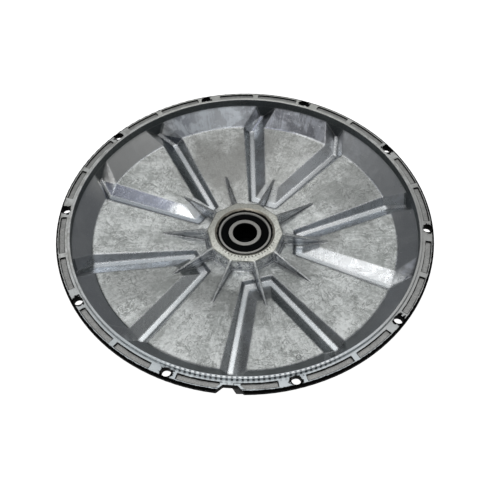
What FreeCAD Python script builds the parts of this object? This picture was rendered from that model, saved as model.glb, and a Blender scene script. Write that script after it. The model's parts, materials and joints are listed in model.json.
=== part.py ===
"""End cover of a wheel hub motor, inner side up, with its sealed ball bearing and shaft seal.

Millimetres. The origin is on the bearing axis, in the plane of the flange's joint face.
+Z points out of the bowl, towards the motor. -Y points at the cable notch in the flange.
"""
import FreeCAD, Part
import math
import os

Vector = FreeCAD.Vector
AXIS_Z = Vector(0, 0, 1)
ORIGIN = Vector(0, 0, 0)

# ---- flange, spigot and screw holes -----------------------------------------------------------
hole_circle_r = 115.0
hole_count = 10
hole_r = 2.75
screw_head_r = 4.4
flange_r = 119.0
flange_t = 4.0
spigot_r = 111.75
spigot_h = 1.6

# ---- bowl -------------------------------------------------------------------------------------
bowl_r = 110.0
cone_top_z = -4.5
floor_edge_r = 98.75
floor_edge_z = -15.0
floor_fall = 0.0964
wall_t = 3.2
rim_wall_r = bowl_r + wall_t

# ---- hub --------------------------------------------------------------------------------------
hub_top_z = -12.65
hub_top_r = 23.6
hub_foot_r = 25.5
hub_rounding = 0.8
hub_core_inset = 0.8
boss_bottom_z = -32.5
boss_r = 24.0
boss_foot_r = 26.5

# ---- V-shaped stiffening channels: sunk inside, standing proud outside ------------------------
channel_count = 5
channel_depth = 3.96
channel_depth_r = 69.0
channel_deepening = 0.0312
channel_bend_r = 99.4
channel_rim_z = -13.5
# Points (along, across) the V's axis: outer wall's top, its foot, inner wall's foot, its top.
channel_tip = ((31.6, 9.9), (33.5, 8.8), (38.0, 7.2), (49.5, 4.4))
channel_bend = ((91.2, 37.8), (92.8, 33.8), (93.9, 30.6), (95.9, 23.4))
channel_rim = ((105.5, 32.9), (105.7, 30.3), (106.6, 27.2), (108.8, 19.2))
channel_overrun = 0.35

# ---- gussets round the hub --------------------------------------------------------------------
gusset_count = 10
gusset_start_r = 20.0
gusset_tip_r = 55.0
gusset_hub_half_t = 0.95
gusset_tip_half_t = 0.45
gusset_draft = 0.06
gusset_sink = 1.0

# ---- pockets in the flange face, and the cable notch ------------------------------------------
pocket_in_r = 113.6
pocket_out_r = 117.0
pocket_depth = 1.2
pocket_corner_r = 0.8
pocket_spans_deg = ((3.1, 17.1), (19.0, 31.0))
notch_deg = 270.0
notch_bottom_r = 114.8
notch_bottom_half = 4.0
notch_mouth_half = 8.3
notch_margin = 1.3
notch_fillet = 0.8

# ---- ball bearing, 15 x 35 x 11 ---------------------------------------------------------------
bearing_bore_r = 7.5
bearing_out_r = 17.5
bearing_width = 11.0
bearing_top_z = -13.9
bearing_mid_z = bearing_top_z - bearing_width / 2
bearing_chamfer = 0.6
seat_mouth_r = 19.6
ball_r = 2.9765
ball_count = 8
pitch_r = 12.5
race_play = 0.03
groove_r = 3.096
inner_land_r = 10.6
outer_land_r = 14.4
seal_seat_r = 15.8
seal_lip_r = 10.65
seal_floor_z = 4.2
cage_in_r = 11.7
cage_out_r = 13.3
cage_t = 0.45
cage_pocket_play = 0.05
rivet_r = 0.4
rivet_head_r = 0.75
rivet_head_h = 0.35

# ---- shaft seal, 15 x 30 x 6.8, behind the bearing --------------------------------------------
shaft_seal_r = 15.0
shaft_seal_top_z = bearing_top_z - bearing_width - 0.4
shaft_seal_h = 6.8
shaft_lip_r = 7.55
spring_ring_r = 10.35
spring_wire_r = 0.65

# ---- ejector pin mark on the floor ------------------------------------------------------------
mark_r = 1.5
mark_depth = 0.25
mark_place_r = 95.0
mark_deg = 293.0


def polar(radius, degrees, z=0.0):
    """Point at a radius and an angle about Z."""
    angle = math.radians(degrees)
    return Vector(radius * math.cos(angle), radius * math.sin(angle), z)


def corner_arc(before, corner, after, radius):
    """Start, middle and end of the arc that rounds a corner of an outline."""
    to_before = (before - corner).normalize()
    to_after = (after - corner).normalize()
    half = to_before.getAngle(to_after) / 2
    reach = radius / math.tan(half)
    bisector = (to_before + to_after).normalize()
    centre = corner + bisector * (radius / math.sin(half))
    middle = centre - bisector * radius
    return corner + to_before * reach, middle, corner + to_after * reach


def rounded_wire(outline):
    """Closed wire in the XZ plane through (r, z) or (r, z, corner radius) points."""
    points = [Vector(p[0], 0, p[1]) for p in outline]
    radii = [p[2] if len(p) > 2 else 0.0 for p in outline]
    count = len(points)
    stops = []
    edges = []
    for i in range(count):
        if radii[i] > 0:
            start, middle, end = corner_arc(points[i - 1], points[i], points[(i + 1) % count], radii[i])
            edges.append(Part.Arc(start, middle, end).toShape())
            stops.append((start, end))
        else:
            stops.append((points[i], points[i]))
    for i in range(count):
        edges.append(Part.LineSegment(stops[i][1], stops[(i + 1) % count][0]).toShape())
    return Part.Wire(Part.__sortEdges__(edges))


def revolved(outline):
    """Solid of revolution about Z of a rounded outline."""
    return Part.Face(rounded_wire(outline)).revolve(ORIGIN, AXIS_Z, 360)


def lifted(shape, z):
    """Copy of a shape moved along Z."""
    moved = shape.copy()
    moved.translate(Vector(0, 0, z))
    return moved


def turned(shape, degrees):
    """Copy of a shape turned about Z."""
    copy = shape.copy()
    copy.rotate(ORIGIN, AXIS_Z, degrees)
    return copy


# ---- heights of the bowl's inner surface ------------------------------------------------------
def floor_z(r):
    """Inner floor, a shallow funnel that falls towards the hub."""
    return floor_edge_z - floor_fall * (floor_edge_r - r)


def inner_z(r):
    """Inner floor, and the steep wall outside it."""
    if r <= floor_edge_r:
        return floor_z(r)
    return floor_edge_z + (cone_top_z - floor_edge_z) * (r - floor_edge_r) / (bowl_r - floor_edge_r)


def channel_floor_z(r):
    """Bottom of the channels: a steady depth under the floor, then up the steep wall."""
    if r <= channel_bend_r:
        return floor_z(r) - channel_depth - channel_deepening * (r - channel_depth_r)
    bend_z = channel_floor_z(channel_bend_r)
    return bend_z + (channel_rim_z - bend_z) * (r - channel_bend_r) / (bowl_r - channel_bend_r)


# ---- cover ------------------------------------------------------------------------------------
def cover_shell():
    """Flange, spigot, bowl and hub core as one solid of revolution."""
    core_foot_r = hub_foot_r - hub_core_inset
    cone_angle = math.atan2(cone_top_z - floor_edge_z, bowl_r - floor_edge_r)
    floor_angle = math.atan(floor_fall)
    half_turn = (cone_angle - floor_angle) / 2
    back_off = wall_t * math.tan(half_turn)
    outer_edge_r = floor_edge_r + wall_t * math.sin(floor_angle) + back_off * math.cos(floor_angle)
    outer_edge_z = floor_edge_z - wall_t * math.cos(floor_angle) + back_off * math.sin(floor_angle)
    rim_foot_z = outer_edge_z + (rim_wall_r - outer_edge_r) * math.tan(cone_angle)
    boss_foot_z = floor_z(boss_foot_r) - wall_t
    return revolved([
        (0, hub_top_z),
        (hub_top_r - hub_core_inset, hub_top_z),
        (core_foot_r, floor_z(core_foot_r), 2.5),
        (floor_edge_r, floor_edge_z, 2.0),
        (bowl_r, cone_top_z, 0.6),
        (bowl_r, spigot_h, 0.3),
        (spigot_r, spigot_h, 0.4),
        (spigot_r, 0, 0.2),
        (flange_r, 0, 1.1),
        (flange_r, -flange_t, 1.2),
        (rim_wall_r, -flange_t, 1.0),
        (rim_wall_r, rim_foot_z, 2.0),
        (outer_edge_r, outer_edge_z, 5.0),
        (boss_foot_r, boss_foot_z, 2.5),
        (boss_r, boss_bottom_z, 1.0),
        (0, boss_bottom_z),
    ])


def hub_prism():
    """Hub with one flat side between each two gussets, its corners on the gussets."""
    foot_z = floor_z(hub_foot_r) - wall_t / 2
    rings = []
    for r, z in ((hub_top_r, hub_top_z), (hub_foot_r, foot_z)):
        corner_r = r / math.cos(math.pi / gusset_count)
        corners = [polar(corner_r, i * 360 / gusset_count, z) for i in range(gusset_count)]
        rings.append(Part.makePolygon(corners + corners[:1]))
    prism = Part.makeLoft(rings, True, True)
    edges = [edge for edge in prism.Edges if edge.BoundBox.ZMax > foot_z + 1]
    return prism.makeFillet(hub_rounding, edges)


def channel_section(station, side, wall, lift, drop):
    """Four corners of the channel's cross-section at one station, grown outwards by a wall."""
    outer_top, outer_foot, inner_foot, inner_top = station
    corners = []
    for top_xy, foot_xy in ((outer_top, outer_foot), (inner_top, inner_foot)):
        top = Vector(top_xy[0], side * top_xy[1], inner_z(math.hypot(*top_xy)))
        foot = Vector(foot_xy[0], side * foot_xy[1], channel_floor_z(math.hypot(*foot_xy)))
        rise = top.z - foot.z
        level = Vector(top.x - foot.x, top.y - foot.y, 0)
        grow = level.normalize() * (wall * math.hypot(rise, (top - foot).dot(level)) / rise)
        slope = (top - foot) * (1 / rise)
        corners.append((top + grow + slope * lift, foot + grow - slope * drop))
    (outer_up, outer_down), (inner_up, inner_down) = corners
    return [outer_up, outer_down, inner_down, inner_up]


def beyond_rim():
    """Rim station carried on past the bowl's radius, in line with the bend station."""
    stretch = 1 + channel_overrun
    station = []
    for bend, rim in zip(channel_bend, channel_rim):
        station.append(tuple(b + (r - b) * stretch for b, r in zip(bend, rim)))
    return station


def ruled_face(a, b, c, d):
    """Ruled face between the line a-b and the line c-d."""
    return Part.makeRuledSurface(Part.makeLine(a, b), Part.makeLine(c, d))


def channel_run(wall, lift, drop):
    """The V's run from rim to bend to tip and back, as one solid with ruled walls."""
    stations = [(beyond_rim(), 1), (channel_bend, 1), (channel_tip, 1)]
    stations += [(channel_tip, -1), (channel_bend, -1), (beyond_rim(), -1)]
    rings = [channel_section(station, side, wall, lift, drop) for station, side in stations]
    faces = [ruled_face(ring[0], ring[1], ring[3], ring[2]) for ring in (rings[0], rings[-1])]
    for near, far in zip(rings, rings[1:]):
        for i in range(4):
            j = (i + 1) % 4
            faces.append(ruled_face(near[i], near[j], far[i], far[j]))
    shell = Part.makeShell(faces)
    shell.sewShape()
    run = Part.makeSolid(shell)
    if run.Volume < 0:
        run.reverse()
    return run


def channel_band(drop, start_r, end_r, top_z):
    """Ring-shaped space above the channel bottom lowered by drop, up to a level."""
    return revolved([
        (start_r, channel_floor_z(start_r) - drop),
        (channel_bend_r, channel_floor_z(channel_bend_r) - drop, 3.0),
        (end_r, channel_floor_z(end_r) - drop),
        (end_r, top_z),
        (start_r, top_z),
    ])


def channel_space():
    """Hollow of one channel, open upwards into the bowl."""
    return channel_run(0, 3.0, 3.0).common(channel_band(0, channel_tip[0][0] - 4, bowl_r, cone_top_z))


def channel_ridge():
    """Metal that stands proud outside, one wall thickness round the channel's hollow."""
    top_of_ridge = -flange_t - 1
    body = channel_run(wall_t, 0.6 - wall_t, wall_t + 3.0)
    return body.common(channel_band(wall_t, hub_top_r, rim_wall_r - 0.2, top_of_ridge))


def gusset(foot_drop):
    """Thin tapered web from the hub's top edge down to the floor, along +X."""
    top_fall = (floor_z(gusset_tip_r) - hub_top_z) / (gusset_tip_r - hub_top_r)
    ends = ((gusset_start_r, gusset_hub_half_t), (gusset_tip_r, gusset_tip_half_t))
    wires = []
    for r, half_t in ends:
        top = hub_top_z + top_fall * (r - hub_top_r)
        foot = floor_z(r) - foot_drop
        foot_half = half_t + gusset_draft * (top - foot)
        corners = [Vector(r, -half_t, top), Vector(r, half_t, top)]
        corners += [Vector(r, foot_half, foot), Vector(r, -foot_half, foot)]
        wires.append(Part.makePolygon(corners + corners[:1]))
    web = Part.makeLoft(wires, True, True)
    below_top_face = Part.makeBox(200, 20, 20, Vector(0, -10, hub_top_z - 20))
    return web.common(below_top_face)


def gusset_over_channel():
    """Gusset on a V's axis, which also reaches down into the channel that it crosses."""
    hollow = channel_run(gusset_sink, 0, gusset_sink + 1)
    hollow = hollow.common(channel_band(gusset_sink, hub_foot_r, bowl_r, cone_top_z))
    deep_web = gusset(channel_depth + gusset_sink).common(hollow)
    return gusset(gusset_sink).fuse(deep_web)


def flange_notch(margin):
    """Trapezoid through the flange for the cable, or the same grown by a margin."""
    widen = (notch_mouth_half - notch_bottom_half) / (flange_r - notch_bottom_r)
    slant = math.hypot(1, widen)
    far = flange_r + 5
    near = notch_bottom_r - margin
    half_near = notch_bottom_half + margin * (slant - widen)
    half_far = half_near + widen * (far - near)
    level = -flange_t - 1
    corners = [Vector(near, -half_near, level), Vector(far, -half_far, level)]
    corners += [Vector(far, half_far, level), Vector(near, half_near, level)]
    prism = Part.Face(Part.makePolygon(corners + corners[:1])).extrude(Vector(0, 0, flange_t + 2))
    return turned(prism, notch_deg)


def upright_edges(solid, r_limit=0.0):
    """Edges along Z, nearer the axis than a limit if one is given."""
    found = []
    for edge in solid.Edges:
        ends = [vertex.Point for vertex in edge.Vertexes]
        if len(ends) == 2 and (ends[0] - ends[1]).cross(AXIS_Z).Length < 1e-6:
            if not r_limit or math.hypot(ends[0].x, ends[0].y) < r_limit:
                found.append(edge)
    return found


def flange_pocket(start_deg, end_deg):
    """Shallow arc-shaped recess in the joint face."""
    middle_deg = (start_deg + end_deg) / 2
    outer = Part.Arc(*[polar(pocket_out_r, a) for a in (start_deg, middle_deg, end_deg)]).toShape()
    inner = Part.Arc(*[polar(pocket_in_r, a) for a in (start_deg, middle_deg, end_deg)]).toShape()
    sides = [Part.makeLine(polar(pocket_in_r, a), polar(pocket_out_r, a)) for a in (start_deg, end_deg)]
    outline = Part.Wire(Part.__sortEdges__([outer, inner] + sides))
    pocket = Part.Face(outline).extrude(Vector(0, 0, pocket_depth + 1))
    pocket = lifted(pocket, -pocket_depth).cut(flange_notch(notch_margin))
    return pocket.makeFillet(pocket_corner_r, upright_edges(pocket))


def flange_cuts():
    """Screw holes with room for the heads outside, face pockets and the cable notch."""
    cuts = []
    pitch_deg = 360 / hole_count
    for i in range(hole_count):
        seat = polar(hole_circle_r, i * pitch_deg, -flange_t)
        cuts.append(Part.makeCylinder(hole_r, 2 * flange_t, seat - AXIS_Z))
        cuts.append(Part.makeCylinder(screw_head_r, 20, seat, AXIS_Z * -1))
        for start_deg, end_deg in pocket_spans_deg:
            cuts.append(flange_pocket(i * pitch_deg + start_deg, i * pitch_deg + end_deg))
    notch = flange_notch(0)
    cuts.append(notch.makeFillet(notch_fillet, upright_edges(notch, notch_bottom_r + 2)))
    return cuts


def bearing_seat():
    """Stepped bore for the bearing and the shaft seal, with its lead-in at the hub's face."""
    seat_floor_z = bearing_top_z - bearing_width
    return revolved([
        (0, hub_top_z + 1),
        (seat_mouth_r, hub_top_z + 1),
        (seat_mouth_r, hub_top_z),
        (bearing_out_r, bearing_top_z),
        (bearing_out_r, seat_floor_z),
        (shaft_seal_r, seat_floor_z),
        (shaft_seal_r, boss_bottom_z + 0.5),
        (shaft_seal_r + 0.5, boss_bottom_z),
        (shaft_seal_r + 0.5, boss_bottom_z - 1),
        (0, boss_bottom_z - 1),
    ])


def cover():
    """The die-cast cover in one piece."""
    channel_pitch = 360 / channel_count
    angles = [i * channel_pitch for i in range(channel_count)]
    body = cover_shell().fuse([hub_prism()] + [turned(channel_ridge(), a) for a in angles])
    body = body.cut([turned(channel_space(), a) for a in angles])
    gusset_pitch = 360 / gusset_count
    webs = []
    for i in range(gusset_count):
        web = gusset_over_channel() if i % 2 == 0 else gusset(gusset_sink)
        webs.append(turned(web, i * gusset_pitch))
    body = body.fuse(webs)
    mark = Part.makeCylinder(mark_r, 5, polar(mark_place_r, mark_deg, floor_z(mark_place_r) - mark_depth))
    return body.cut(flange_cuts() + [bearing_seat(), mark]).removeSplitter()


# ---- ball bearing, drawn about its own middle -------------------------------------------------
def raceway(bottom_r, side):
    """Torus that cuts a ball groove; side is +1 where the groove lies outside the balls."""
    centre_r = bottom_r - side * groove_r
    return Part.makeTorus(centre_r, groove_r)


def outer_ring():
    """Outer race with a raceway and a seal seat at each face."""
    half = bearing_width / 2
    c = bearing_chamfer
    outline = [
        (bearing_out_r, half - c), (bearing_out_r - c, half), (seal_seat_r, half),
        (seal_seat_r - 0.4, half - 0.4), (seal_seat_r, half - 0.6), (seal_seat_r, seal_floor_z),
        (outer_land_r, seal_floor_z),
    ]
    outline += [(r, -z) for r, z in reversed(outline)]
    return revolved(outline).cut(raceway(pitch_r + ball_r + race_play, 1))


def inner_ring():
    """Inner race: bore for the axle, raceway outside."""
    half = bearing_width / 2
    c = bearing_chamfer
    outline = [
        (bearing_bore_r, half - c), (bearing_bore_r + c, half),
        (inner_land_r - 0.15, half), (inner_land_r, half - 0.15),
    ]
    outline += [(r, -z) for r, z in reversed(outline)]
    return revolved(outline).cut(raceway(pitch_r - ball_r - race_play, -1))


def ball():
    """One ball, on +X."""
    return Part.makeSphere(ball_r, Vector(pitch_r, 0, 0))


def cage_half():
    """Upper pressed half of the cage: flats between domed pockets, with rivet holes."""
    ball_pitch = 360 / ball_count
    pocket_r = ball_r + cage_pocket_play
    bowls = [turned(Part.makeSphere(pocket_r + cage_t, Vector(pitch_r, 0, 0)), i * ball_pitch)
             for i in range(ball_count)]
    band = Part.makeCylinder(cage_out_r, 5).cut(Part.makeCylinder(cage_in_r, 5))
    flat = Part.makeCylinder(cage_out_r, cage_t)
    half = flat.fuse(bowls).common(band)
    holes = [turned(Part.makeSphere(pocket_r, Vector(pitch_r, 0, 0)), i * ball_pitch)
             for i in range(ball_count)]
    holes += [turned(Part.makeCylinder(rivet_r, 2 * cage_t, Vector(pitch_r, 0, 0)), (i + 0.5) * ball_pitch)
              for i in range(ball_count)]
    return half.cut(holes).removeSplitter()


def cage_rivets():
    """Rivets that close the two cage halves, one between each two balls."""
    head_z = cage_t + rivet_head_h
    outline = [
        (0, head_z), (rivet_head_r - 0.2, head_z, 0.15), (rivet_head_r, cage_t), (rivet_r, cage_t),
        (rivet_r, -cage_t), (rivet_head_r, -cage_t), (rivet_head_r - 0.2, -head_z, 0.15), (0, -head_z),
    ]
    rivet = revolved(outline)
    rivet.translate(Vector(pitch_r, 0, 0))
    return Part.makeCompound([turned(rivet, (i + 0.5) * 360 / ball_count) for i in range(ball_count)])


def seal_insert():
    """Stiffening washer inside the upper bearing seal."""
    low = seal_floor_z + 0.25
    return revolved([(11.6, low), (15.0, low), (15.0, low + 0.3), (11.6, low + 0.3)])


def seal_rubber():
    """Moulded rubber of the upper bearing seal, with its bead, face rib and lip."""
    low = seal_floor_z
    body = revolved([
        (seal_seat_r, low),
        (seal_seat_r, low + 0.7),
        (seal_seat_r - 0.4, low + 0.9, 0.1),
        (14.9, low + 0.95),
        (14.6, low + 0.8),
        (12.2, low + 0.8),
        (11.9, low + 0.95),
        (11.2, low + 1.0, 0.2),
        (seal_lip_r, low + 0.6),
        (seal_lip_r, low + 0.35),
        (11.3, low),
    ])
    return body.cut(seal_insert())


def mirrored(shape):
    """Copy of a bearing part turned over to the bearing's other face."""
    return shape.mirror(ORIGIN, AXIS_Z)


# ---- shaft seal, drawn down from its upper face -----------------------------------------------
def shaft_seal_case():
    """Pressed L-section ring that stiffens the shaft seal."""
    web_z = -shaft_seal_h + 0.7
    return revolved([
        (14.5, -0.4), (13.9, -0.4), (13.9, web_z + 0.6), (10.9, web_z + 0.6), (10.9, web_z), (14.5, web_z, 0.4),
    ])


def shaft_seal_spring():
    """Garter spring round the sealing lip."""
    return Part.makeTorus(spring_ring_r, spring_wire_r, Vector(0, 0, -2.0))


def shaft_seal_rubber():
    """Rubber of the shaft seal: press-in wall, web, sealing lip and dust lip."""
    bottom = -shaft_seal_h
    body = revolved([
        (shaft_seal_r, 0),
        (13.4, 0),
        (13.4, bottom + 1.9, 0.5),
        (10.9, bottom + 1.9, 0.4),
        (10.3, -0.8, 0.3),
        (8.6, -0.8, 0.3),
        (shaft_lip_r, -2.3),
        (8.8, bottom + 2.0, 0.5),
        (8.8, bottom + 1.3, 0.3),
        (shaft_lip_r, bottom + 0.2),
        (shaft_lip_r + 0.5, bottom, 0.1),
        (9.6, bottom + 0.5),
        (10.2, bottom),
        (shaft_seal_r, bottom, 0.5),
    ])
    return body.cut([shaft_seal_case(), shaft_seal_spring()])


def build():
    """Every node's solid, in place."""
    nodes = {"cover": cover()}
    nodes["bearing_outer_ring"] = lifted(outer_ring(), bearing_mid_z)
    nodes["bearing_inner_ring"] = lifted(inner_ring(), bearing_mid_z)
    for i in range(ball_count):
        nodes["bearing_ball_%d" % (i + 1)] = lifted(turned(ball(), i * 360 / ball_count), bearing_mid_z)
    nodes["cage_half_upper"] = lifted(cage_half(), bearing_mid_z)
    nodes["cage_half_lower"] = lifted(mirrored(cage_half()), bearing_mid_z)
    nodes["cage_rivets"] = lifted(cage_rivets(), bearing_mid_z)
    nodes["inner_seal_rubber"] = lifted(seal_rubber(), bearing_mid_z)
    nodes["inner_seal_insert"] = lifted(seal_insert(), bearing_mid_z)
    nodes["outer_seal_rubber"] = lifted(mirrored(seal_rubber()), bearing_mid_z)
    nodes["outer_seal_insert"] = lifted(mirrored(seal_insert()), bearing_mid_z)
    nodes["shaft_seal_case"] = lifted(shaft_seal_case(), shaft_seal_top_z)
    nodes["shaft_seal_rubber"] = lifted(shaft_seal_rubber(), shaft_seal_top_z)
    nodes["shaft_seal_spring"] = lifted(shaft_seal_spring(), shaft_seal_top_z)
    return nodes


os.makedirs("parts", exist_ok=True)
for name, shape in build().items():
    shape.exportStep("parts/%s.step" % name)
    print("%-20s solids %d  valid %s  %.1f mm3" % (name, len(shape.Solids), shape.isValid(), shape.Volume))
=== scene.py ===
"""Looks of a hub motor's end cover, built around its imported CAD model. Metres, same frame as the CAD."""
import json
import math

import bmesh
import bpy
from mathutils import Matrix, Vector


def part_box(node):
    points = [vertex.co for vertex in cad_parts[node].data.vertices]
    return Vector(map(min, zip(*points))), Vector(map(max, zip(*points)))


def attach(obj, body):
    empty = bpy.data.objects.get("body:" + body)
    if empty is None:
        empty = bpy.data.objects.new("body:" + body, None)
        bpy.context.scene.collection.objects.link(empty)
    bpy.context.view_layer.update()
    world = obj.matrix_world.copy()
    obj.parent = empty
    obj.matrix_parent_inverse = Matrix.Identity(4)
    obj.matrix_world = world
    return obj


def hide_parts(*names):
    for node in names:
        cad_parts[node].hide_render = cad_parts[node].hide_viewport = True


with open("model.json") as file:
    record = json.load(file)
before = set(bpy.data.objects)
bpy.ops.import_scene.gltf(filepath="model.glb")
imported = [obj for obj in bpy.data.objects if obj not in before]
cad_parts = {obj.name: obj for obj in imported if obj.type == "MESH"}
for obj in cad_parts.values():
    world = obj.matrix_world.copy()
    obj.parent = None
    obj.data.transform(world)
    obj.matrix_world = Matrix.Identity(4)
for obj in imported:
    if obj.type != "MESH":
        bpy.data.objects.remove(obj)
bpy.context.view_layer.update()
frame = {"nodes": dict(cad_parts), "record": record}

MM = 0.001

# ---- driving sizes ----------------------------------------------------------------------------
# From the imported record and the nodes' boxes where those have them, otherwise given to match the
# CAD. Millimetres, unless a comment says otherwise.
mounts = {mount["name"]: mount for mount in frame["record"]["mounts"]}
HOLE_CIRCLE_R = mounts["flange_screws"]["dims"]["pcd_mm"] / 2
HOLE_COUNT = mounts["flange_screws"]["dims"]["count"]
SPIGOT_R = mounts["spigot"]["dims"]["r_mm"]
BOWL_R = SPIGOT_R - 1.75
FLANGE_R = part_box("cover")[1].x / MM
LOWEST_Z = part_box("cover")[0].z                # metres
BEARING_TOP_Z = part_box("bearing_outer_ring")[1].z / MM
HUB_TOP_Z = BEARING_TOP_Z + 1.25
HUB_TOP_R = 23.6
SEAT_R = 17.6                                  # just outside the bearing
SEAT_MOUTH_R = 19.7                            # just outside the mouth of the bearing's seat
BALL_COUNT = sum(name.startswith("bearing_ball") for name in frame["nodes"])
PITCH_R = (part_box("bearing_ball_1")[0].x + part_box("bearing_ball_1")[1].x) / 2 / MM
BORE_R = 7.5
RIM_R = 100                                    # flange and spigot lie outside this
HUB_SIDE_R = 27.5                              # the hub's foot lies inside this
FLOOR_EDGE_R = 98.75
FLOOR_EDGE_Z = -15.0
FLOOR_FALL = 0.0964                            # of the radius
POCKET_IN_R = 113.6
POCKET_OUT_R = 117.0
POCKET_DEPTH = 1.2
POCKET_SPANS = ((3.1, 17.1), (19.0, 31.0))     # degrees past each screw hole
CHATTER_PITCH = 1.5                            # degrees
HUB_MARK_PITCH = 6.2                           # degrees
TURNING_PITCH = 0.42
MARK_R = 95.0                                  # where the ejector pin's mark is
MARK_DEG = 293.0                               # degrees
MARK_RING_R = 1.45

# Stains on the bowl's floor: radius, degrees, reach and depth of tone.
STAINS = (
    (62, 112, 30, 0.75), (82, 88, 18, 0.6), (52, 4, 13, 0.6), (46, 240, 20, 0.5),
    (50, 275, 17, 0.45), (38, 150, 16, 0.5), (42, 335, 15, 0.45), (84, 27, 30, 0.55),
    (60, 205, 12, 0.35), (76, 213, 24, 0.45),
)
# Light and shade painted on the channels' walls by the way they face: degrees, the cosines of the angle to
# it where the tone starts and is full, its amount and its colour.
WALL_LIGHT_AND_SHADE = (
    (20, 0.50, 0.80, 0.85, (0.15, 0.17, 0.17)),
    (286, 0.98, 0.995, 0.5, (0.84, 0.90, 0.96)),
    (235, 0.94, 0.985, 0.75, (0.95, 0.97, 0.98)),
    (72, 0.975, 0.995, 0.8, (0.98, 0.98, 0.98)),
    (336, 0.80, 0.96, 0.45, (0.86, 0.88, 0.89)),
    (145, 0.90, 0.97, 0.45, (0.86, 0.88, 0.88)),
)


# ---- shader maths -----------------------------------------------------------------------------
class Value:
    """A shader number. Operators on it add the Math nodes that work them out."""

    def __init__(self, finish, socket):
        self.finish = finish
        self.socket = socket

    def __add__(self, other):
        return self.finish.math("ADD", self, other)

    def __radd__(self, other):
        return self.finish.math("ADD", other, self)

    def __sub__(self, other):
        return self.finish.math("SUBTRACT", self, other)

    def __rsub__(self, other):
        return self.finish.math("SUBTRACT", other, self)

    def __mul__(self, other):
        return self.finish.math("MULTIPLY", self, other)

    def __truediv__(self, other):
        return self.finish.math("DIVIDE", self, other)

    def __pow__(self, other):
        return self.finish.math("POWER", self, other)

    def __mod__(self, other):
        return self.finish.math("FLOORED_MODULO", self, other)

    def __abs__(self):
        return self.finish.math("ABSOLUTE", self)

    def sin(self):
        return self.finish.math("SINE", self)

    def at_most(self, other):
        return self.finish.math("MINIMUM", self, other)

    def at_least(self, other):
        return self.finish.math("MAXIMUM", self, other)

    def step(self, low, high):
        """0 below low, 1 above high, smooth between; low may be the larger one."""
        node = self.finish.add("ShaderNodeMapRange", {"interpolation_type": "SMOOTHSTEP"},
                               {"Value": self, "From Min": low, "From Max": high})
        return node["Result"]


class Outputs:
    """The outputs of one node, by name or by number."""

    def __init__(self, finish, node):
        self.finish = finish
        self.node = node

    def __getitem__(self, key):
        return Value(self.finish, self.node.outputs[key])


class Finish:
    """One procedural material. Positions in it are millimetres on Object coordinates."""

    def __init__(self, name):
        self.material = bpy.data.materials.new(name)
        self.material.use_nodes = True
        self.tree = self.material.node_tree
        self.shader = self.tree.nodes["Principled BSDF"]
        place = self.add("ShaderNodeTexCoord")["Object"]
        scaled = self.add("ShaderNodeVectorMath", {"operation": "SCALE"}, {0: place, "Scale": 1 / MM})
        self.place = scaled[0]
        parts = self.add("ShaderNodeSeparateXYZ", {}, {0: self.place})
        self.x, self.y, self.z = parts[0], parts[1], parts[2]
        self.radius = (self.x * self.x + self.y * self.y) ** 0.5
        self.angle = self.math("ARCTAN2", self.y, self.x) * (180 / math.pi)
        self.normal = self.add("ShaderNodeNewGeometry")["Normal"]
        slope = self.add("ShaderNodeSeparateXYZ", {}, {0: self.normal})
        self.facing_x, self.facing_y, self.facing_up = slope[0], slope[1], slope[2]

    def add(self, kind, settings=None, inputs=None):
        """Adds a node: its settings first, then the values or links of its sockets."""
        node = self.tree.nodes.new(kind)
        for key, setting in (settings or {}).items():
            setattr(node, key, setting)
        for key, value in (inputs or {}).items():
            if isinstance(value, Value):
                self.tree.links.new(value.socket, node.inputs[key])
            else:
                node.inputs[key].default_value = value
        return Outputs(self, node)

    def math(self, operation, *values):
        return self.add("ShaderNodeMath", {"operation": operation}, dict(enumerate(values)))[0]

    def vector(self, x, y, z):
        return self.add("ShaderNodeCombineXYZ", {}, {0: x, 1: y, 2: z})[0]

    def noise(self, size, detail=3.0, rough=0.55, twist=0.0, place=None):
        """Smooth noise about 0.5, with features about size millimetres across."""
        sockets = {"Vector": place or self.place, "Scale": 1 / size, "Detail": detail,
                   "Roughness": rough, "Distortion": twist}
        return self.add("ShaderNodeTexNoise", {}, sockets)["Fac"]

    def mix(self, amount, first, second):
        """Colour mix: first at 0, second at 1. Each is a colour or a link."""
        node = self.add("ShaderNodeMix", {"data_type": "RGBA"}, {0: amount})
        for socket, colour in ((6, first), (7, second)):
            if isinstance(colour, Value):
                self.tree.links.new(colour.socket, node.node.inputs[socket])
            else:
                node.node.inputs[socket].default_value = (*colour, 1.0)
        return node[2]

    def bump(self, height, strength=1.0, before=None):
        """Normal from a height in millimetres, on top of an earlier one."""
        sockets = {"Height": height * MM, "Strength": strength, "Distance": 1.0}
        if before is not None:
            sockets["Normal"] = before
        return self.add("ShaderNodeBump", {}, sockets)["Normal"]

    def rounded(self, radius):
        """Normal that rolls over sharp edges, as a casting's edges do."""
        return self.add("ShaderNodeBevel", {"samples": 5}, {"Radius": radius * MM})["Normal"]

    def open_to(self, reach):
        """1 in the open, falling towards 0 deep in corners, within reach millimetres."""
        settings = {"samples": 4, "only_local": True}
        return self.add("ShaderNodeAmbientOcclusion", settings, {"Distance": reach * MM})["AO"]

    def set(self, **sockets):
        """Shader inputs by name, with _ for a blank."""
        for key, value in sockets.items():
            socket = self.shader.inputs[key.replace("_", " ")]
            if isinstance(value, Value):
                self.tree.links.new(value.socket, socket)
            elif isinstance(value, tuple):
                socket.default_value = (*value, 1.0)
            else:
                socket.default_value = value
        return self.material


# ---- finishes ---------------------------------------------------------------------------------
def edge_glow(f, radius):
    """Rounded normal over sharp edges, 0 to 1 where the rounding is, and how far it faces up."""
    rounded = f.rounded(radius)
    dot = f.add("ShaderNodeVectorMath", {"operation": "DOT_PRODUCT"}, {0: rounded, 1: f.normal})["Value"]
    up = f.add("ShaderNodeSeparateXYZ", {}, {0: rounded})[2]
    return rounded, dot.step(0.992, 0.90), up


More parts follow.
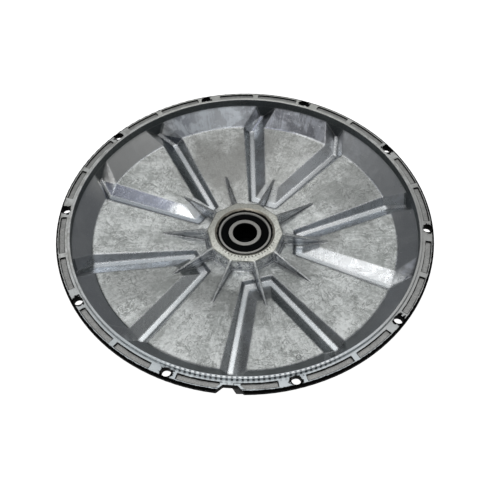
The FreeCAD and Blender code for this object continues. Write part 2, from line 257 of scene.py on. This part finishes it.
def spot(f, radius, degrees, reach):
    """0 to 1 inside a round patch with a ragged edge, centred at a radius and an angle."""
    angle = math.radians(degrees)
    across = f.x - radius * math.cos(angle)
    along = f.y - radius * math.sin(angle)
    away = (across * across + along * along) ** 0.5
    return (away / reach + (f.noise(12, 4, 0.6) - 0.5) * 1.6).step(1.1, 0.5)


def radial_streaks(f, width, stretch):
    """Noise drawn out along the radius, about width millimetres wide at the rim."""
    turns = 105 / width
    place = f.vector(f.x / f.radius * turns, f.y / f.radius * turns, f.radius / stretch)
    return f.noise(1.0, 4, 0.65, 0.0, place)


def towards(f, degrees, start, full):
    """0 to 1 on the side of the axis that lies in a direction, from the cosine of the angle to it."""
    return f.math("COSINE", (f.angle - degrees) * (math.pi / 180)).step(start, full)


def facing(f, degrees, start, full):
    """0 to 1 where a wall faces a direction seen from above, from the cosine of the angle to it."""
    turn = math.radians(degrees)
    level = (f.facing_x * f.facing_x + f.facing_y * f.facing_y + 0.0001) ** 0.5
    toward = (f.facing_x * math.cos(turn) + f.facing_y * math.sin(turn)) / level
    return toward.step(start, full)


def ejector_mark(f):
    """0 to 1 on the thin ring that an ejector pin left."""
    across = f.x - MARK_R * math.cos(math.radians(MARK_DEG))
    along = f.y - MARK_R * math.sin(math.radians(MARK_DEG))
    return abs((across * across + along * along) ** 0.5 - MARK_RING_R).step(0.5, 0.15)


def floor_skin(f, clouds, mottle, specks, streaks):
    """Colour of the bowl's floor, with its veins, creases, stains and painted shade towards +Y, and where
    the veins are.
    """
    wrinkle = abs(f.noise(11, 5, 0.62, 2.2) - 0.5)
    wrinkled = f.noise(15, 2).step(0.42, 0.52)
    veins = wrinkle.step(0.035, 0.0) * wrinkled
    crests = abs(wrinkle - 0.055).step(0.02, 0.0) * wrinkled
    creases = abs(f.noise(7, 5, 0.68, 1.6) - 0.5).step(0.014, 0.0) * f.noise(10, 2).step(0.46, 0.58)
    tone = clouds * 0.27 + mottle * 0.33 + specks * 0.25 + streaks * 0.15
    floor = f.mix(tone.step(0.42, 0.60), (0.43, 0.45, 0.435), (0.94, 0.965, 0.95))
    floor = f.mix(veins * 0.65, floor, (0.17, 0.18, 0.17))
    floor = f.mix(crests * 0.45, floor, (0.97, 0.98, 0.97))
    floor = f.mix(creases * 0.7, floor, (0.13, 0.14, 0.13))
    for radius, degrees, reach, depth in STAINS:
        floor = f.mix(spot(f, radius, degrees, reach) * depth, floor, (0.24, 0.245, 0.235))
    floor = f.mix(ejector_mark(f) * 0.75, floor, (0.10, 0.105, 0.10))
    # painted shade: darker and browner towards +Y
    floor = f.mix(towards(f, 92, 0.45, 0.95) * 0.3, floor, (0.40, 0.385, 0.36))
    return floor, veins


def channel_skin(f, clouds):
    """Colour of the channels' burnished bottoms, with painted shade towards 172 and 84 degrees."""
    bright = f.mix(clouds.step(0.38, 0.62), (0.80, 0.84, 0.86), (0.96, 0.98, 0.99))
    # painted shade on the channel bottoms towards 172 and 84 degrees
    bright = f.mix(towards(f, 172, 0.80, 0.95) * 0.9, bright, (0.44, 0.48, 0.52))
    return f.mix(towards(f, 84, 0.60, 0.90) * 0.5, bright, (0.56, 0.58, 0.60))


def wall_skin(f, clouds, mottle, web, web_streaks, hub_side):
    """Colour of the channels' walls, the webs' sides and the hub's sides, with light and shade painted on
    by the way the walls face.
    """
    wall = f.mix(clouds.step(0.40, 0.60), (0.42, 0.43, 0.435), (0.62, 0.65, 0.69))
    # painted light and shade by the way each wall faces
    for degrees, start, full, amount, colour in WALL_LIGHT_AND_SHADE:
        wall = f.mix(facing(f, degrees, start, full) * amount, wall, colour)
    # painted shade on the walls that face 264 degrees away from the hub, and a painted highlight on them
    # near it
    long_wall = facing(f, 264, 0.975, 0.99)
    ragged_r = f.radius + (mottle - 0.5) * 40
    wall = f.mix(long_wall * ragged_r.step(50, 64) * 0.9, wall, (0.21, 0.225, 0.28))
    wall = f.mix(long_wall * ragged_r.step(57, 46), wall, (0.93, 0.96, 0.97))
    # light and dark streaks drawn out along the radius on the webs' sides
    wall = f.mix(web, wall, f.mix(web_streaks, (0.42, 0.44, 0.48), (0.95, 0.97, 1.0)))
    # painted reflection: thin dark streaks on the hub's near-white sides
    dark_reflection_streaks = abs(f.noise(5, 3, 0.6, 1.5) - 0.5).step(0.05, 0.015)
    return f.mix(hub_side, wall, f.mix(dark_reflection_streaks, (0.97, 0.98, 1.0), (0.22, 0.24, 0.30)))


def slope_skin(f, clouds, streaks):
    """Colour of the steep wall round the floor, with its scratches, painted highlights where it faces -Y,
    and light and shade painted on by the side of the axis.
    """
    # painted highlights: patches of shine where the wall faces -Y
    shine = (f.noise(13, 4, 0.62, 1.2) * 0.75 + streaks * 0.25).step(0.44, 0.60)
    far = f.facing_y.step(-0.35, -0.62)
    slope = f.mix(shine * far, (0.56, 0.57, 0.585), (0.86, 0.89, 0.97))
    slope = f.mix(clouds.step(0.42, 0.58) * 0.35, slope, (0.38, 0.39, 0.42))
    # painted shade towards 74 and 122 degrees, painted light towards 108, 36 and 146 degrees
    slope = f.mix(towards(f, 74, 0.86, 0.97) * (0.9 - shine * 0.4), slope, (0.19, 0.195, 0.22))
    slope = f.mix(towards(f, 122, 0.985, 0.998) * (1 - shine) * 0.8, slope, (0.20, 0.21, 0.27))
    slope = f.mix(towards(f, 108, 0.93, 0.995) * (shine * 0.6 + 0.4), slope, (0.90, 0.95, 1.0))
    slope = f.mix(towards(f, 36, 0.88, 0.97) * 0.5, slope, (0.86, 0.87, 0.88))
    slope = f.mix(towards(f, 146, 0.90, 0.98) * 0.75, slope, (0.95, 0.94, 0.91))
    turn = f.vector(f.x * 0.05, f.y * 0.05, f.z * 0.35)
    line = abs(f.noise(1.0, 1, 0.5, 0.3, turn) - 0.5).step(0.0045, 0.001)
    slope = f.mix(line * f.noise(9, 2).step(0.56, 0.62), slope, (0.95, 0.96, 0.97))
    # painted shade towards -85 degrees
    return f.mix(towards(f, -85, 0.55, 0.9) * 0.5, slope, (0.32, 0.35, 0.35))


def cast_aluminium():
    """Raw die casting: stained floor, burnished channel bottoms, smooth drafted walls, with painted light
    and shade: tones by facing and by side of the axis, highlights on edges and the hub, shade in corners.
    """
    f = Finish("cast_aluminium")
    rounded, edge, up = edge_glow(f, 1.6)
    sunk = FLOOR_EDGE_Z - (FLOOR_EDGE_R - f.radius) * FLOOR_FALL - f.z
    steep = up.step(0.985, 0.91)
    bottom = sunk.step(2.2, 3.0) * (1 - steep)
    polished = sunk.step(2.0, 2.8) * f.facing_up.step(0.93, 0.97)
    hub_side = f.radius.step(HUB_SIDE_R + 1.5, HUB_SIDE_R) * f.facing_up.step(0.6, 0.4)
    web = f.facing_up.step(0.4, 0.2) * f.radius.step(60, 58) * sunk.step(0.6, 0.2)
    cone = f.radius.step(FLOOR_EDGE_R + 0.2, FLOOR_EDGE_R + 0.8) * sunk.step(0.3, -0.3)
    upright = f.facing_up.step(0.5, 0.2) * f.radius.step(BOWL_R - 1.2, BOWL_R - 0.7)
    lip = f.z.step(HUB_TOP_Z - 2.0, HUB_TOP_Z - 1.2) * f.radius.step(26.5, 26.0) * steep
    crest = sunk.step(-0.2, 0.05) * sunk.step(0.8, 0.45)
    corner = f.open_to(3.0).step(0.88, 0.50) * (1 - hub_side * 0.25)

    clouds = f.noise(26, 3, 0.55, 0.5)
    mottle = f.noise(6.5, 5, 0.68, 1.0)
    specks = f.noise(1.8, 4, 0.7, 0.8)
    grain = f.noise(0.7, 3, 0.6)
    streaks = radial_streaks(f, 1.5, 22)
    along = f.vector(f.radius * 0.06, f.z * 0.7, f.angle * 0.05)
    # light and dark streaks along the radius, for the webs' sides
    web_streaks = f.noise(1.0, 3, 0.6, 0.3, along).step(0.40, 0.62)
    # painted highlight: a bright line along the hub's foot, on its -Y side
    foot_line = abs(sunk + 1.3 + (specks - 0.5) * 1.2).step(0.8, 0.4) * f.radius.step(29, 28)
    glint = foot_line * 0.9 * towards(f, -90, -0.6, 0.0)

    floor, veins = floor_skin(f, clouds, mottle, specks, streaks)
    colour = f.mix(bottom, floor, channel_skin(f, clouds))
    colour = f.mix(steep, colour, wall_skin(f, clouds, mottle, web, web_streaks, hub_side))
    colour = f.mix(cone, colour, slope_skin(f, clouds, streaks))
    # painted shade: the upright wall under the rim is dark all round
    colour = f.mix(upright, colour, (0.17, 0.185, 0.19))
    colour = f.mix((grain - 0.5).at_least(0.0) * (1 - polished) * 0.9, colour, (0.95, 0.96, 0.96))
    # painted highlight along the top of the hub's side
    colour = f.mix(lip * 0.8, colour, (0.97, 0.97, 0.93))
    # painted highlights along edges, brighter on crests
    colour = f.mix(edge * (0.55 + crest * 0.4), colour, (0.98, 0.99, 1.0))
    # painted shade: darkest deep in corners and hollows, a little less on the hub's sides
    colour = f.mix(corner * 0.75, colour, (0.07, 0.075, 0.08))
    # painted highlight along the hub's foot
    colour = f.mix(glint, colour, (0.93, 0.96, 1.0))

    # less metallic along the painted highlight at the hub's foot and on the brightest web streaks, so they
    # read bright under diffuse light
    metal = 1 - glint.at_least(web * web_streaks.step(0.7, 1.0) * 0.5)
    rough = 0.37 + (mottle - 0.5) * 0.4 * (1 - polished) - steep * 0.09
    rough = rough - polished * 0.12 + cone * 0.08 - hub_side * 0.14
    waves = f.noise(4.0, 2, 0.5, 0.5) * hub_side
    relief = mottle * 0.20 + specks * 0.05 + grain * 0.03 - veins * 0.03
    normal = f.bump(relief * (1 - polished * 0.92) + waves * 1.2, 0.6, rounded)
    return f.set(Base_Color=colour, Metallic=metal, Roughness=rough, Normal=normal)


def hole_distance(f):
    """Distance in millimetres to the nearest screw hole's axis."""
    pitch = 360 / HOLE_COUNT
    off_angle = ((f.angle + pitch / 2) % pitch) - pitch / 2
    along = off_angle * (math.pi / 180) * f.radius
    out = f.radius - HOLE_CIRCLE_R
    return (along * along + out * out) ** 0.5


def pocket_depth_in(f):
    """Millimetres inside the nearest flange pocket's outline, negative outside it."""
    off_angle = f.angle % (360 / HOLE_COUNT)
    inside = None
    for start, end in POCKET_SPANS:
        span = (off_angle - start).at_most(end - off_angle)
        inside = span if inside is None else inside.at_least(span)
    across = (f.radius - POCKET_IN_R).at_most(POCKET_OUT_R - f.radius)
    return (inside * (math.pi / 180) * f.radius).at_most(across)


def rim_chatter(f, colour):
    """Squares and dashes that the tool left on one side of the spigot and the joint face."""
    squares = (f.angle * (2 * math.pi / CHATTER_PITCH)).sin().step(-0.1, 0.5)
    chattered = towards(f, -84, 0.86, 0.95)
    top_row = f.radius.step(BOWL_R + 0.3, BOWL_R + 0.6) * f.radius.step(SPIGOT_R - 0.3, SPIGOT_R - 0.6)
    dash_row = abs(f.radius - SPIGOT_R - 0.2).step(0.55, 0.3)
    face_row = f.radius.step(SPIGOT_R + 0.7, SPIGOT_R + 1.0)
    face_row = face_row * f.radius.step(SPIGOT_R + 2.4, SPIGOT_R + 2.0)
    marks = top_row * 0.62 + dash_row * 0.85 + face_row * 0.28
    colour = f.mix((1 - squares) * chattered * top_row * 0.8, colour, (0.97, 0.99, 1.0))
    return f.mix(squares * chattered * marks, colour, (0.09, 0.10, 0.115))


def bearing_seat_skin(f, colour, patches):
    """Tool marks round the bearing's seat, a browner tone on its lead-in, and a near-black ring next to
    the bearing.
    """
    marks = (f.angle * (2 * math.pi / HUB_MARK_PITCH)).sin().step(0.3, 0.7) * towards(f, -75, 0.35, 0.75)
    row = f.radius.step(19.8, 20.1) * f.radius.step(21.4, 20.9)
    colour = f.mix(marks * row * 0.8, colour, (0.07, 0.065, 0.05))
    colour = f.mix(f.radius.step(19.75, 19.5) * 0.6, colour, (0.34, 0.29, 0.22))
    # near-black ring where the seat meets the bearing
    seat_dark_ring = (f.radius + (patches - 0.5) * 2.0).step(18.6, 18.0)
    return f.mix(seat_dark_ring, colour, (0.015, 0.014, 0.012))


def paint_on_face(f, patches):
    """0 to 1 where black paint reaches over the rim, round the holes and along the pockets."""
    blots = f.noise(2.6, 4, 0.7)
    smudge = hole_distance(f) + (blots - 0.5) * 9 - towards(f, 20, -0.2, 0.9) * 0.3
    smudge = smudge.step(4.3, 3.6) * f.radius.step(SPIGOT_R + 0.6, SPIGOT_R + 1.2)
    rim = (f.radius + (blots - 0.5) * 1.4).step(FLANGE_R - 1.5, FLANGE_R - 1.15)
    outline = abs(pocket_depth_in(f) + 0.1).step(0.28, 0.10) * f.radius.step(SPIGOT_R, SPIGOT_R + 0.5)
    outline = outline * (1 - towards(f, 90, 0.2, 0.8) * 0.7) * patches.step(0.36, 0.46)
    return smudge.at_least(rim).at_least(outline * 0.9)


def turned_aluminium():
    """Machined joint face, spigot and hub face: pale, with turning lines and chatter, light and shade
    painted on by the side of the axis and painted highlights on edges.
    """
    f = Finish("turned_aluminium")
    rounded, edge, up = edge_glow(f, 0.35)
    wobble = f.noise(30, 3) * 0.6
    lines = ((f.radius + wobble) * (2 * math.pi / TURNING_PITCH)).sin()
    fine = f.noise(1.0, 3, 0.6, 0.0, f.vector(f.radius * 3, f.x * 0.12, f.y * 0.12))
    patches = f.noise(6, 4, 0.65)
    grains = f.noise(1.1, 4, 0.75)
    on_rim = f.radius.step(RIM_R, RIM_R + 5)
    on_hub = f.radius.step(30, 25)

    colour = f.mix(patches.step(0.38, 0.62), (0.68, 0.68, 0.65), (0.96, 0.97, 0.955))
    colour = f.mix(fine.step(0.50, 0.72) * 0.35, colour, (0.50, 0.50, 0.47))
    # painted light and shade on the rim: bluer and darker towards -88 degrees, lighter towards 92 degrees
    colour = f.mix(towards(f, -88, 0.2, 0.9) * on_rim * 0.7, colour, (0.56, 0.62, 0.66))
    colour = f.mix(towards(f, 92, 0.6, 0.95) * on_rim * 0.8, colour, (0.99, 0.99, 0.93))
    # painted shade on the hub face towards 115 degrees
    colour = f.mix(towards(f, 115, -0.35, 0.75) * on_hub * 0.65, colour, (0.42, 0.41, 0.37))
    pale = f.mix(grains.step(0.40, 0.58), (0.58, 0.58, 0.51), (1.0, 1.0, 0.90))
    colour = f.mix(on_hub * 0.75, colour, pale)
    # painted shade on the hub face towards 120 degrees
    colour = f.mix(on_hub * towards(f, 120, -0.2, 0.8) * 0.55, colour, (0.36, 0.36, 0.33))
    # painted shade on the rim towards -12 degrees
    colour = f.mix(towards(f, -12, 0.75, 0.97) * on_rim * 0.7, colour, (0.44, 0.44, 0.43))
    # painted highlight along edges
    colour = f.mix(edge * 0.5, colour, (0.97, 0.97, 0.95))
    colour = rim_chatter(f, colour)
    colour = bearing_seat_skin(f, colour, patches)

    paint = paint_on_face(f, patches)
    colour = f.mix(paint, colour, (0.003, 0.003, 0.003))
    rough = 0.40 + (patches - 0.5) * 0.4
    normal = f.bump(lines * 0.004 + fine * 0.012, 0.7, rounded)
    return f.set(Base_Color=colour, Metallic=1 - paint, Roughness=rough, Normal=normal, IOR=1.06)


def pocket_skin():
    """Sandy cast floor of the flange's pockets, darker along the walls, less so towards +Y."""
    f = Finish("pocket_skin")
    grit = f.noise(0.7, 3, 0.7)
    cloud = f.noise(5, 3, 0.6)
    colour = f.mix((grit * 0.7 + cloud * 0.3).step(0.40, 0.62), (0.44, 0.44, 0.43), (0.68, 0.68, 0.66))
    # darker along the pocket walls, less so towards +Y
    dark_by_walls = (pocket_depth_in(f) + (cloud - 0.5) * 0.9).step(0.35, 0.0)
    dark_by_walls = dark_by_walls * (1 - towards(f, 90, 0.2, 0.8) * 0.75)
    colour = f.mix(dark_by_walls * 0.9, colour, (0.02, 0.02, 0.02))
    normal = f.bump(grit * 0.05, 0.6)
    return f.set(Base_Color=colour, Metallic=0.85, Roughness=0.55 + (grit - 0.5) * 0.3, Normal=normal)


def black_paint():
    """Satin black coat on the outside of the casting."""
    f = Finish("black_paint")
    peel = f.noise(1.1, 2, 0.5)
    dust = f.noise(18, 4, 0.6)
    colour = f.mix(dust.step(0.45, 0.8) * 0.5, (0.002, 0.002, 0.002), (0.007, 0.007, 0.008))
    rough = 0.42 + (dust - 0.5) * 0.2
    normal = f.bump(peel * 0.03, 0.5, f.rounded(0.6))
    gloss = f.z.step(-7.0, -10.0) * (0.30 + (peel - 0.5) * 0.3)
    return f.set(Base_Color=colour, Metallic=0.0, Roughness=rough, Normal=normal,
                 IOR=1.06, Coat_Weight=gloss, Coat_Roughness=0.32)


def ground_steel(name, tint, wear=0.3, bore_r=0.0):
    """Ground or polished bearing steel with fine rings round the axis, painted near-black inside a bore as
    shade.
    """
    f = Finish(name)
    rings = f.noise(1.0, 3, 0.6, 0.0, f.vector(f.radius * 9, f.z * 9, f.angle * 0.02))
    film = f.noise(4, 3, 0.6)
    dark = tuple(c * 0.55 for c in tint)
    colour = f.mix(rings.step(0.3, 0.7) * 0.6 + film * 0.3, dark, tint)
    rough = wear + (rings - 0.5) * 0.2
    if bore_r:
        # painted shade: the bore's wall is near-black
        bore_shade = f.radius.step(bore_r + 0.55, bore_r + 0.35)
        colour = f.mix(bore_shade, colour, f.mix(film, (0.004, 0.0035, 0.004), (0.022, 0.019, 0.022)))
    return f.set(Base_Color=colour, Metallic=1.0, Roughness=rough, Normal=f.bump(rings * 0.004, 0.5))


def seal_rubber():
    """Moulded black nitrile rubber."""
    f = Finish("seal_rubber")
    bloom = f.noise(3, 4, 0.6)
    grain = f.noise(0.25, 2, 0.5)
    colour = f.mix(bloom.step(0.4, 0.8) * 0.6, (0.0008, 0.001, 0.0014), (0.004, 0.0045, 0.005))
    rough = 0.55 + (bloom - 0.5) * 0.3
    normal = f.bump(grain * 0.02, 0.5)
    return f.set(Base_Color=colour, Metallic=0.0, Roughness=rough, Normal=normal, IOR=1.15)


def pale_floor():
    """White sweep that the object lies on: it glows away from the axis; under the part it has no glow, a
    painted shadow, and under the bore it is near-black, a painted shadow.
    """
    f = Finish("pale_floor")
    cloud = f.noise(200, 2, 0.5)
    # painted shadow: near-black under the bore
    past_bore = f.radius.step(16, 20)
    # painted shadow: no glow under the part
    glowing = f.radius.step(52, 82)
    colour = f.mix(cloud, (0.40, 0.40, 0.40), (0.42, 0.42, 0.42))
    colour = f.mix(past_bore, (0.02, 0.02, 0.02), colour)
    glow = f.mix(glowing, (0.0, 0.0, 0.0), (1.0, 1.0, 1.0))
    return f.set(Base_Color=colour, Roughness=0.9, Emission_Color=glow, Emission_Strength=1.0)


# ---- the cover's mesh -------------------------------------------------------------------------
def solid_copy(node, name):
    """Mesh object with a CAD node's shape, its triangles welded."""
    mesh = frame["nodes"][node].data.copy()
    mesh.name = name
    mesh.materials.clear()
    work = bmesh.new()
    work.from_mesh(mesh)
    bmesh.ops.remove_doubles(work, verts=work.verts, dist=1e-7)
    work.to_mesh(mesh)
    work.free()
    piece = bpy.data.objects.new(name, mesh)
    bpy.context.scene.collection.objects.link(piece)
    return piece


CAST, TURNED, POCKET, PAINTED = range(4)


def cover_zone(centre, normal):
    """Which of the cover's finishes a face has, from where it lies and where it faces."""
    x, y, z = (c / MM for c in centre)
    r = math.hypot(x, y)
    if r > SPIGOT_R + 0.1:
        if abs(z + POCKET_DEPTH) < 0.2 and normal.z > 0.9:
            return POCKET
        return TURNED if z > -0.9 and normal.z > 0.5 else PAINTED
    if r > BOWL_R + 0.05 and z > -0.5 and normal.z > -0.3:
        return TURNED
    if normal.z < -0.02 and r > SEAT_R:
        return PAINTED
    if r < HUB_TOP_R + 1.6 and z > HUB_TOP_Z - 0.75 and normal.z > 0.3:
        return TURNED
    if r < SEAT_MOUTH_R:
        return TURNED
    return CAST


def make_cover():
    """The casting, with raw, machined and painted zones."""
    piece = solid_copy("cover", "cover_casting")
    for material in (cast_aluminium(), turned_aluminium(), pocket_skin(), black_paint()):
        piece.data.materials.append(material)
    for face in piece.data.polygons:
        face.material_index = cover_zone(face.center, face.normal)
        face.use_smooth = False
    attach(piece, "cover_body")
    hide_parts("cover")


# ---- pieces grown by rule ---------------------------------------------------------------------
class Recipe:
    """One Geometry Nodes tree, with named number inputs, run once and kept as a plain mesh."""

    def __init__(self, name, sizes):
        self.name = name
        self.tree = bpy.data.node_groups.new(name, "GeometryNodeTree")
        self.sizes = {}
        for key, value in sizes.items():
            kind = "NodeSocketInt" if isinstance(value, int) else "NodeSocketFloat"
            socket = self.tree.interface.new_socket(key, in_out="INPUT", socket_type=kind)
            self.sizes[key] = (socket.identifier, value)
        self.tree.interface.new_socket("Geometry", in_out="OUTPUT", socket_type="NodeSocketGeometry")
        self.start = self.tree.nodes.new("NodeGroupInput")

    def size(self, key):
        return self.start.outputs[key]

    def add(self, kind, settings=None, inputs=None):
        """Adds a node: its settings first, then the values or links of its sockets."""
        node = self.tree.nodes.new(kind)
        for key, setting in (settings or {}).items():
            setattr(node, key, setting)
        for key, value in (inputs or {}).items():
            if isinstance(value, bpy.types.NodeSocket):
                self.tree.links.new(value, node.inputs[key])
            else:
                node.inputs[key].default_value = value
        return node.outputs

    def math(self, operation, *values):
        return self.add("ShaderNodeMath", {"operation": operation}, dict(enumerate(values)))[0]

    def joined(self, parts):
        node = self.tree.nodes.new("GeometryNodeJoinGeometry")
        for part in reversed(parts):
            self.tree.links.new(part, node.inputs[0])
        return node.outputs[0]

    def grow(self, geometry, material):
        """Ends the tree, runs it and gives back a plain mesh object at the origin."""
        real = self.add("GeometryNodeRealizeInstances", {}, {0: geometry})[0]
        coated = self.add("GeometryNodeSetMaterial", {}, {0: real, "Material": material})[0]
        end = self.tree.nodes.new("NodeGroupOutput")
        self.tree.links.new(coated, end.inputs[0])
        seed = bpy.data.objects.new(self.name, bpy.data.meshes.new(self.name))
        bpy.context.scene.collection.objects.link(seed)
        modifier = seed.modifiers.new(self.name, "NODES")
        modifier.node_group = self.tree
        for identifier, value in self.sizes.values():
            modifier[identifier] = value
        graph = bpy.context.evaluated_depsgraph_get()
        mesh = bpy.data.meshes.new_from_object(seed.evaluated_get(graph), depsgraph=graph)
        seed.modifiers.clear()
        seed.data = mesh
        return seed


def make_garter_spring(material):
    """Close-wound spring bent to a ring, round the shaft seal's lip."""
    low, high = (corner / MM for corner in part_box("shaft_seal_spring"))
    coil_r = (high.z - low.z) / 2
    wire_r = 0.13
    recipe = Recipe("garter_spring", {
        "Ring radius": (high.x - coil_r) * MM,
        "Coil radius": (coil_r - wire_r) * MM,
        "Wire radius": wire_r * MM,
        "Height": (high.z + low.z) / 2 * MM,
        "Coils": 200,
        "Steps": 8,
    })
    points = recipe.math("MULTIPLY", recipe.size("Coils"), recipe.size("Steps"))
    ring = recipe.add("GeometryNodeCurvePrimitiveCircle", {}, {"Resolution": points, "Radius": 1.0})[0]
    turn = recipe.math("DIVIDE", recipe.add("GeometryNodeInputIndex")[0], points)
    around = recipe.math("MULTIPLY", turn, 2 * math.pi)
    phase = recipe.math("MULTIPLY", around, recipe.size("Coils"))
    out = recipe.math("MULTIPLY", recipe.math("COSINE", phase), recipe.size("Coil radius"))
    out = recipe.math("ADD", out, recipe.size("Ring radius"))
    up = recipe.math("MULTIPLY", recipe.math("SINE", phase), recipe.size("Coil radius"))
    x = recipe.math("MULTIPLY", out, recipe.math("COSINE", around))
    y = recipe.math("MULTIPLY", out, recipe.math("SINE", around))
    z = recipe.math("ADD", up, recipe.size("Height"))
    place = recipe.add("ShaderNodeCombineXYZ", {}, {0: x, 1: y, 2: z})[0]
    coil = recipe.add("GeometryNodeSetPosition", {}, {0: ring, "Position": place})[0]
    wire_sizes = {"Resolution": 6, "Radius": recipe.size("Wire radius")}
    wire = recipe.add("GeometryNodeCurvePrimitiveCircle", {}, wire_sizes)[0]
    spring = recipe.add("GeometryNodeCurveToMesh", {}, {0: coil, "Profile Curve": wire})[0]
    spring = recipe.add("GeometryNodeSetShadeSmooth", {}, {0: spring, "Shade Smooth": True})[0]
    piece = recipe.grow(spring, material)
    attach(piece, "cover_body")
    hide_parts("shaft_seal_spring")


def make_rivets(material):
    """Rivets with domed heads, one between each two balls of the cage."""
    low, high = (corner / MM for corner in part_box("cage_rivets"))
    sheet = 0.45
    head_r = 0.75
    recipe = Recipe("rivets", {
        "Circle radius": PITCH_R * MM,
        "Head radius": head_r * MM,
        "Head height": ((high.z - low.z) / 2 - sheet) * MM,
        "Grip": 2 * sheet * MM,
        "Shank radius": 0.4 * MM,
        "Height": (high.z + low.z) / 2 * MM,
        "Rivets": BALL_COUNT,
    })
    grip = recipe.size("Grip")
    shank_sizes = {"Vertices": 16, "Radius": recipe.size("Shank radius"), "Depth": grip}
    parts = [recipe.add("GeometryNodeMeshCylinder", {}, shank_sizes)[0]]
    flat = recipe.math("DIVIDE", recipe.size("Head height"), recipe.size("Head radius"))
    for side in (0.5, -0.5):
        dome_sizes = {"Segments": 16, "Rings": 8, "Radius": recipe.size("Head radius")}
        dome = recipe.add("GeometryNodeMeshUVSphere", {}, dome_sizes)[0]
        lift = recipe.add("ShaderNodeCombineXYZ", {}, {2: recipe.math("MULTIPLY", grip, side)})[0]
        squash = recipe.add("ShaderNodeCombineXYZ", {}, {0: 1.0, 1: 1.0, 2: flat})[0]
        shaped = {0: dome, "Translation": lift, "Scale": squash}
        parts.append(recipe.add("GeometryNodeTransform", {}, shaped)[0])
    circle_sizes = {"Vertices": recipe.size("Rivets"), "Radius": recipe.size("Circle radius")}
    circle = recipe.add("GeometryNodeMeshCircle", {}, circle_sizes)[0]
    lift = recipe.add("ShaderNodeCombineXYZ", {}, {2: recipe.size("Height")})[0]
    half_pitch = recipe.math("DIVIDE", math.pi, recipe.size("Rivets"))
    spin = recipe.add("ShaderNodeCombineXYZ", {}, {2: half_pitch})[0]
    placed = {0: circle, "Translation": lift, "Rotation": spin}
    circle = recipe.add("GeometryNodeTransform", {}, placed)[0]
    rivet = recipe.joined(parts)
    rivets = recipe.add("GeometryNodeInstanceOnPoints", {}, {0: circle, "Instance": rivet})[0]
    piece = recipe.grow(rivets, material)
    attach(piece, "cage_body")
    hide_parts("cage_rivets")


# ---- bearing ----------------------------------------------------------------------------------
def finish_node(node, material):
    """Gives a CAD node one material."""
    thing = frame["nodes"][node]
    thing.data.materials.clear()
    thing.data.materials.append(material)


def finish_bearing():
    """Finishes for the bearing and the shaft seal, and their two grown pieces."""
    ring_tint = (0.52, 0.51, 0.48)
    ring_steel = ground_steel("ring_steel", ring_tint)
    inner_steel = ground_steel("inner_ring_steel", ring_tint, bore_r=BORE_R)
    ball_steel = ground_steel("ball_steel", (0.72, 0.72, 0.74), 0.12)
    sheet_steel = ground_steel("sheet_steel", (0.55, 0.54, 0.52), 0.35)
    case_steel = ground_steel("zinc_plated_case", (0.66, 0.64, 0.55), 0.42)
    rubber = seal_rubber()
    for node in frame["nodes"]:
        if "ball" in node:
            finish_node(node, ball_steel)
        elif "rubber" in node:
            finish_node(node, rubber)
        elif node == "bearing_inner_ring":
            finish_node(node, inner_steel)
        elif node == "bearing_outer_ring":
            finish_node(node, ring_steel)
        elif node == "shaft_seal_case":
            finish_node(node, case_steel)
        elif node not in ("cover", "shaft_seal_spring", "cage_rivets"):
            finish_node(node, sheet_steel)
    make_garter_spring(ground_steel("spring_wire", (0.60, 0.60, 0.58), 0.25))
    make_rivets(sheet_steel)


# ---- stage, light and camera ------------------------------------------------------------------
def make_stage():
    """Wide pale floor under the part."""
    reach = 40.0
    corners = [(x * reach, y * reach, LOWEST_Z) for x, y in ((-1, -1), (1, -1), (1, 1), (-1, 1))]
    mesh = bpy.data.meshes.new("floor")
    mesh.from_pydata(corners, [], [(0, 1, 2, 3)])
    floor = bpy.data.objects.new("floor", mesh)
    bpy.context.scene.collection.objects.link(floor)
    mesh.materials.append(pale_floor())


def soft_box(name, place, width, depth, radiance):
    """Rectangular light aimed at the part."""
    light = bpy.data.lights.new(name, "AREA")
    light.shape = "RECTANGLE"
    light.size = width
    light.size_y = depth
    light.energy = radiance * math.pi * width * depth
    lamp = bpy.data.objects.new(name, light)
    bpy.context.scene.collection.objects.link(lamp)
    lamp.location = place
    lamp.rotation_euler = (-Vector(place)).to_track_quat("-Z", "Y").to_euler()


def make_light():
    """Large box near the camera, weaker ones overhead and behind, dim all round."""
    world = bpy.data.worlds.new("studio")
    bpy.context.scene.world = world
    world.use_nodes = True
    world.node_tree.nodes["Background"].inputs["Color"].default_value = (0.93, 0.97, 1.0, 1.0)
    world.node_tree.nodes["Background"].inputs["Strength"].default_value = 0.16
    soft_box("key", (-0.20, -0.38, 1.3), 0.60, 0.76, 1.6)
    soft_box("back", (0.05, 0.54, 1.25), 0.9, 0.44, 1.4)
    soft_box("ceiling", (0.0, 0.0, 1.5), 3.2, 3.2, 0.17)
    bpy.context.scene.view_settings.view_transform = "Standard"


def make_camera():
    """Camera that looks down at 53 degrees, turned 4 degrees about Z and rolled a little."""
    data = bpy.data.cameras.new("camera")
    data.sensor_width = 36.0
    data.lens = 51.80
    camera = bpy.data.objects.new("camera", data)
    bpy.context.scene.collection.objects.link(camera)
    reach = HOLE_CIRCLE_R * MM
    place = Vector((0.1795, -2.4312, 3.0461)) * reach
    aim = Vector((0.0131, -0.1778, 0.0)) * reach
    ahead = (aim - place).normalized()
    level = ahead.cross(Vector((0, 0, 1))).normalized()
    above = level.cross(ahead)
    roll = math.radians(-0.327)
    right = math.cos(roll) * level + math.sin(roll) * above
    up = -math.sin(roll) * level + math.cos(roll) * above
    turn = Matrix((right, up, -ahead)).transposed()
    camera.matrix_world = Matrix.Translation(place) @ turn.to_4x4()
    bpy.context.scene.camera = camera


make_camera()
make_stage()
make_light()
make_cover()
finish_bearing()
